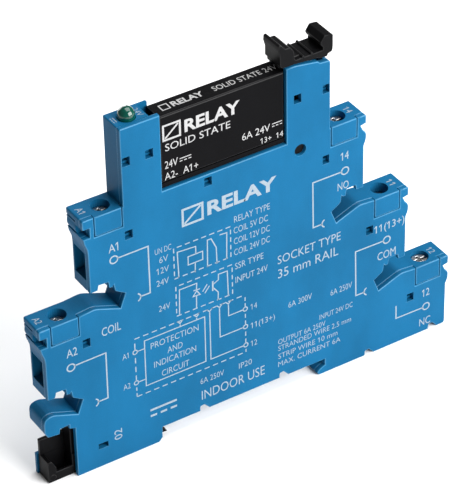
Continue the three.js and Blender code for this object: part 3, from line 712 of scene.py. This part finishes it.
def print_terminals(ink):
    """Terminal numbers and the contact each one leads to, with a line from its screw."""
    for words, a, b, height, width in (
            ("A1", -31.85, 49.15, 1.95, 2.15), ("A2", -42.3, 28.1, 1.95, 2.4),
            ("COIL", -34.3, 30.0, 2.0, 4.3), ("14", 21.6, 49.8, 1.9, 1.9),
            ("NO", 20.9, 42.7, 1.8, 2.65), ("11(13+)", 30.0, 28.3, 1.8, 7.5),
            ("COM", 30.9, 21.1, 1.95, 4.55), ("12", 42.5, 6.7, 1.9, 1.9), ("NC", 42.0, -0.9, 1.9, 2.8)):
        ink.text(words, a, b, height, width, weight=0.0)
    routes = (
        ((-30.8, 46.3), [(-29.95, 46.35), (-23.15, 46.35), (-23.1, 35.05), (-25.3, 35.05)], -26.2, -1),
        ((-41.5, 24.5), [(-40.65, 24.65), (-33.65, 24.7), (-33.7, 13.35), (-35.9, 13.35)], -36.8, -1),
        ((22.65, 46.15), [(21.8, 46.15), (14.95, 46.2), (15.05, 35.15), (17.2, 35.15)], 18.1, 1),
        ((33.15, 24.7), [(32.3, 24.7), (25.4, 24.8), (25.6, 13.45), (27.7, 13.45)], 28.6, 1),
        ((43.6, 2.95), [(42.75, 2.9), (35.9, 3.0), (35.85, 6.3)], None, 1),
    )
    for ring, path, fork, side in routes:
        ink.arc(*ring, 0.85)
        ink.line(path)
        if fork is not None:
            spread = (110, 250) if side > 0 else (-70, 70)
            ink.arc(fork, path[-1][1], 0.95, *spread, sides=8)


def print_ratings(ink):
    """Plain wording in the places where the socket is marked."""
    ink.box(-15.2, -10.7, 47.9, 51.7, width=0.5)
    ink.line([(-14.8, 48.3), (-11.1, 51.3)], 0.45)
    ink.text("RELAY", -9.6, 49.8, 3.0, 16.0, weight=0.14)
    for words, a, b, height, width in (
            ("RELAY TYPE", -3.55, 44.7, 1.5, 8.35), ("COIL 5V DC", -3.7, 42.05, 1.5, 8.0),
            ("COIL 12V DC", -3.7, 39.4, 1.5, 8.4), ("COIL 24V DC", -3.7, 36.7, 1.5, 8.4),
            ("SSR TYPE", -3.55, 33.2, 1.5, 6.7), ("INPUT 24V", -3.5, 29.8, 1.5, 7.6),
            ("SOCKET TYPE", 6.5, 30.5, 2.05, 15.2), ("35 mm RAIL", 6.55, 27.0, 2.2, 14.6),
            ("6A 300V", 9.0, 18.1, 1.45, 5.7), ("6A 250V", 19.3, 16.8, 1.45, 5.3),
            ("INPUT 24V DC", 16.6, 11.6, 1.3, 8.2), ("OUTPUT 6A 250V", 6.45, 9.6, 1.3, 11.6),
            ("STRANDED WIRE 2.5 mm", 6.45, 7.9, 1.3, 18.0), ("STRIP WIRE 10 mm", 6.45, 5.8, 1.3, 14.6),
            ("MAX. CURRENT 6A", 6.4, 3.75, 1.3, 15.4), ("6A 250V", -12.3, 7.7, 1.4, 5.6),
            ("IP20", -3.1, 7.6, 1.4, 3.1), ("INDOOR USE", -12.1, 4.0, 2.3, 15.2),
            ("UN DC", -21.7, 44.2, 1.35, 3.7)):
        ink.text(words, a, b, height, width)
    for words, a, b, width in (("6V", -20.8, 41.9, 2.0), ("12V", -21.5, 39.3, 2.8),
                               ("24V", -21.6, 36.45, 2.8), ("24V", -21.3, 30.15, 2.6)):
        ink.text(words, a, b, 1.45, width)
    ink.direct_current(-24.2, 4.9, 6.2, 0.5)
    ink.text("02", -31.8, 3.0, 1.75, 2.6, turn=90.0, align="CENTER", weight=0.0)


def print_circuits(ink):
    """The relay, the solid-state relay and the socket's own circuit, each in a dashed frame."""
    thin = 0.24
    dashes = dict(width=thin, dash=1.2, gap=0.8)
    ink.box(-17.5, -4.45, 36.0, 43.4, **dashes)
    ink.line([(-16.5, 35.9), (-16.7, 42.2), (-12.5, 41.9), (-12.5, 40.3)], thin)
    ink.box(-14.3, -10.95, 38.1, 40.1, width=thin)
    ink.line([(-12.7, 37.9), (-12.75, 35.7)], thin)
    ink.line([(-9.9, 35.8), (-9.8, 42.3), (-8.95, 42.3), (-7.8, 39.7), (-7.7, 35.7)], thin)
    ink.line([(-6.95, 42.4), (-5.3, 42.3), (-5.45, 35.9)], thin)
    ink.box(-17.3, -4.25, 26.7, 34.0, **dashes)
    ink.line([(-16.65, 26.9), (-16.5, 32.9), (-12.5, 32.85), (-12.6, 31.3)], thin)
    ink.line([(-13.4, 29.9), (-11.8, 29.8), (-12.55, 31.0)], thin, closed=True)
    ink.line([(-13.3, 31.3), (-11.8, 31.2)], thin)
    ink.line([(-12.65, 29.7), (-12.7, 26.8)], thin)
    ink.line([(-11.2, 30.2), (-10.1, 31.6)], thin)
    ink.line([(-10.7, 29.6), (-9.6, 31.0)], thin)
    ink.line([(-8.8, 31.8), (-8.85, 29.4)], thin + 0.1)
    ink.line([(-8.7, 31.0), (-7.5, 31.6), (-7.45, 32.95), (-5.4, 32.9), (-5.25, 26.7)], thin)
    ink.line([(-8.7, 30.1), (-7.6, 28.6), (-7.65, 26.6)], thin)
    for a in (-27.1, -1.35):
        rings = (14.15, 21.9) if a < -5 else (12.4, 17.1, 21.6)
        at = 10.6
        for b in (*rings, 25.2):
            stop = b - 0.55 if b in rings else b
            ink.line([(a, at), (a, stop)], **dashes)
            at = b + 0.55
        for b in rings:
            ink.arc(a, b, 0.5, width=thin, sides=12)
    for b in (10.6, 25.2):
        ink.line([(-27.1, b), (-1.35, b)], **dashes)
    ink.box(-24.9, -10.9, 12.4, 23.8, width=thin)
    for a in (-16.6, -12.75, -9.7, -7.35, -5.3):
        ink.line([(a - 0.7, 25.3), (a, 24.6), (a + 0.7, 25.3)], thin)
    for words, a, b, width in (("PROTECTION", -23.5, 21.8, 11.1), ("AND", -19.7, 19.15, 3.5),
                               ("INDICATION", -22.9, 16.8, 9.8), ("CIRCUIT", -21.2, 13.9, 6.4)):
        ink.text(words, a, b, 1.5, width)
    for b in (21.9, 14.15):
        ink.line([(-26.55, b), (-25.05, b)], thin)
    for a in (-16.6, -12.75):
        ink.line([(a, 24.3), (a, 23.95)], thin)
    for b, turn in ((21.6, -5.3), (17.1, -7.4), (12.4, -9.7)):
        ink.line([(-1.9, b), (turn, b), (turn, 24.4)], thin)
    for words, a, b, width in (("A1", -30.0, 21.85, 1.4), ("A2", -30.1, 14.2, 1.6),
                               ("14", -0.05, 21.5, 1.5), ("11(13+)", -0.1, 16.7, 5.8),
                               ("12", -0.15, 12.1, 1.5)):
        ink.text(words, a, b, 1.4, width)


def print_cover():
    ink = Print((0, COVER_FACE / MM, 0), (1, 0, 0), (0, 0, 1))
    print_terminals(ink)
    print_ratings(ink)
    print_circuits(ink)
    ink.finish("print_cover", INK_GREY, "socket")


def print_tops():
    """Terminal numbers on the block tops and the lamp's rating on its tower, read from the coil side."""
    for mark in MARKS:
        low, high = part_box("clamp_cage_" + mark)
        block_top = high.z / MM + CAGE_DEPTH
        x = (low.x + high.x) / 2 / MM + (COIL_SIDE if mark.startswith("A") else LOAD_SIDE)
        ink = Print((x, 0.4, block_top), (0, -1, 0), (1, 0, 0))
        ink.text(mark, 0, 0, 1.45, 1.9, align="CENTER", weight=0.0)
        ink.finish("print_top_" + mark, INK_GREY, "socket")
    lamp_low, lamp_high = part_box("led_lens")
    lamp = (lamp_low.x + lamp_high.x) / 2 / MM
    ink = Print((lamp, 0, TOWER_TOP), (0, -1, 0), (1, 0, 0))
    ink.text("24V", -0.3, 2.65, 1.2, 2.6, align="CENTER")
    ink.direct_current(-1.2, -2.6, 1.7, 0.18)
    ink.finish("print_lamp", INK_GREY, "socket")


def print_relay():
    low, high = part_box("relay_case")
    ink = Print((0, low.y / MM, 0), (1, 0, 0), (0, 0, 1))
    ink.box(-18.5, -14.8, 68.8, 72.1, width=0.42)
    ink.line([(-18.1, 69.2), (-15.2, 71.7)], 0.38)
    ink.text("RELAY", -13.8, 70.4, 2.6, 12.4, weight=0.12)
    ink.text("SOLID STATE", -18.2, 67.05, 1.6, 14.6, weight=0.0)
    ink.text("24V", -18.4, 63.1, 1.7, 2.9, weight=0.0)
    ink.direct_current(-15.1, 63.1, 2.6, 0.2)
    ink.text("A2-  A1+", -18.5, 60.45, 1.6, 7.5, weight=0.0)
    ink.text("6A 24V", -1.0, 62.9, 1.6, 6.4, weight=0.0)
    ink.direct_current(5.9, 63.1, 2.3, 0.2)
    ink.text("13+  14", 3.2, 60.35, 1.25, 5.2, weight=0.0)
    ink.finish("print_relay_face", INK_WHITE, "relay")
    ink = Print((0, 0, high.z / MM), (1, 0, 0), (0, 1, 0))
    ink.box(-17.4, -15.7, -0.8, 0.9, width=0.25)
    ink.text("RELAY", -15.0, 0.05, 1.5, 7.0, weight=0.07)
    ink.text("SOLID STATE 24V DC", -5.8, 0.05, 1.5, 17.5, weight=0.0)
    ink.finish("print_relay_top", INK_WHITE, "relay")


print_cover()
print_tops()
print_relay()

# ---- Camera, light, floor -----------------------------------------------------------------------

FLOOR_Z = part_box("housing_rear_shell")[0].z
FLOOR_HALF, FLOOR_CELLS = 0.9, 24          # half the floor's side in metres, and its cells along a side
SURROUND = 0.15                            # strength of the light from all round
BACKDROP = 0.95                            # how pale the surround looks
LENS = 210.255                             # focal length in mm, for a sensor 36 mm wide
CAMERA_PLACE = (-0.24622, -0.39510, 0.38212)
LIGHTS = (                                 # name, place, aim and size in metres, and power in watts
    ("key", (0.42, -0.80, 0.48), (0, 0, 0.035), (0.9, 0.7), 21),
    ("top", (0.4, 0.05, 1.1), (0, 0.03, 0), (1.0, 1.0), 14),
    ("back", (0.1, 1.0, 0.25), (0, 0, 0.04), (0.9, 0.5), 6),
)


def add_camera():
    """The camera at the photo's viewing angle, worked out from the object's long straight edges."""
    right = Vector((0.84332541, -0.53716901, -0.01586561))
    up = Vector((0.33252936, 0.49840533, 0.80063497))
    back = Vector((-0.42216878, -0.68047159, 0.59894234))
    data = bpy.data.cameras.new("camera")
    data.sensor_fit = "AUTO"
    data.sensor_width = 36.0
    data.lens = LENS
    data.clip_start = 0.01
    data.clip_end = 20.0
    camera = bpy.data.objects.new("camera", data)
    turn = Matrix((right, up, back)).transposed().to_4x4()
    camera.matrix_world = Matrix.Translation(CAMERA_PLACE) @ turn
    bpy.context.scene.collection.objects.link(camera)
    bpy.context.scene.camera = camera


def area_light(name, place, aim, size, power):
    data = bpy.data.lights.new(name, "AREA")
    data.shape = "RECTANGLE"
    data.size, data.size_y = size
    data.energy = power
    light = bpy.data.objects.new(name, data)
    light.location = place
    light.rotation_mode = "QUATERNION"
    light.rotation_quaternion = (Vector(aim) - Vector(place)).to_track_quat("-Z", "Y")
    bpy.context.scene.collection.objects.link(light)


def add_floor():
    """A plain pale floor under the object."""
    bm = bmesh.new()
    steps = [(i / FLOOR_CELLS - 0.5) * 2 * FLOOR_HALF for i in range(FLOOR_CELLS + 1)]
    rows = [[bm.verts.new((x, y, FLOOR_Z)) for y in steps] for x in steps]
    for a, b in zip(rows, rows[1:]):
        for i in range(FLOOR_CELLS):
            bm.faces.new((a[i], b[i], b[i + 1], a[i + 1]))
    mesh = bpy.data.meshes.new("floor")
    bm.to_mesh(mesh)
    bm.free()
    s = Shader("floor_paper")
    s.plug(s.tint(s.noise(0.02, 2.0), (0.91, 0.91, 0.91), (0.93, 0.93, 0.93)), "Base Color")
    s.plug(s.ramp(s.noise(0.5, 2.0), 0.75, 0.85), "Roughness")
    s.set(Specular_IOR_Level=0.1)
    mesh.materials.append(s.material)
    floor = bpy.data.objects.new("floor", mesh)
    bpy.context.scene.collection.objects.link(floor)


def add_world():
    """A dim white surround that looks like pale backdrop paper past the edge of the floor."""
    world = bpy.data.worlds.new("studio")
    world.use_nodes = True
    tree = world.node_tree
    tree.nodes.clear()
    lit, seen = (tree.nodes.new("ShaderNodeBackground") for _ in range(2))
    lit.inputs["Strength"].default_value = SURROUND
    seen.inputs["Strength"].default_value = BACKDROP
    path, blend = tree.nodes.new("ShaderNodeLightPath"), tree.nodes.new("ShaderNodeMixShader")
    tree.links.new(path.outputs["Is Camera Ray"], blend.inputs[0])
    tree.links.new(lit.outputs[0], blend.inputs[1])
    tree.links.new(seen.outputs[0], blend.inputs[2])
    tree.links.new(blend.outputs[0], tree.nodes.new("ShaderNodeOutputWorld").inputs["Surface"])
    for background in (lit, seen):
        background.inputs["Color"].default_value = (1.0, 1.0, 1.0, 1.0)
    bpy.context.scene.world = world


add_camera()
add_world()
add_floor()
for light in LIGHTS:
    area_light(*light)
bpy.context.scene.view_settings.view_transform = "Standard"
